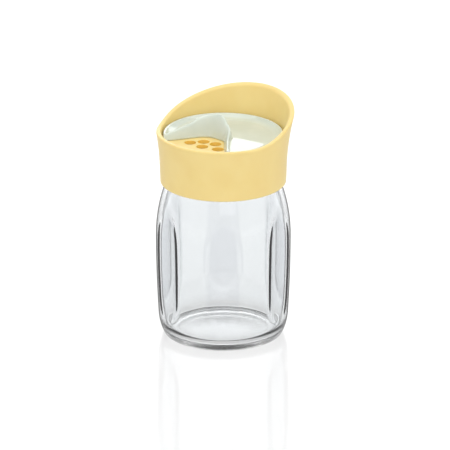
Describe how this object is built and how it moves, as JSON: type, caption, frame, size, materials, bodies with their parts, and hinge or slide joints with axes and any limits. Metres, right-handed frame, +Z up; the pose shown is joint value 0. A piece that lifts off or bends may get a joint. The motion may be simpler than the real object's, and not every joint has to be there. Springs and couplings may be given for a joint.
{
  "type": "salt shaker",
  "caption": "Fluted glass shaker jar with a slanted screw collar, a sieve floor and a rotary dial whose notch opens the sieve.",
  "frame": {"origin": "on the jar's axis, at the level of the table it stands on", "axes": "+Z up along the jar's axis; -Y towards the low, pouring side of the collar; +Y towards its high side"},
  "size_m": [0.0612, 0.0634, 0.1087],
  "materials": {
    "clear_glass": "clear, fire-polished",
    "silicone": "translucent, satin",
    "yellow_plastic": "moulded, satin",
    "white_plastic": "moulded, glossy"
  },
  "bodies": {
    "jar": {"glass_jar": "clear_glass"},
    "seal": {"sealing_ring": "silicone"},
    "collar": {"screw_collar": "yellow_plastic"},
    "dial": {"rotary_dial": "white_plastic"}
  },
  "joints": [
    {"name": "cap_rise", "type": "slide", "parent": "jar", "child": "seal", "axis": [0, 0, 1], "range_m": [0, 0.0047]},
    {"name": "cap_turn", "type": "hinge", "parent": "seal", "child": "collar", "pos_m": [0, 0, 0.08], "axis": [0, 0, 1], "range_deg": [0, 400]},
    {"name": "dial_turn", "type": "hinge", "parent": "collar", "child": "dial", "pos_m": [0, 0, 0.0923], "axis": [0, 0, 1], "continuous": true}
  ],
  "couplings": [
    {"joint": "cap_rise", "follows": "cap_turn", "m_per_rad": 0.0006737}
  ]
}
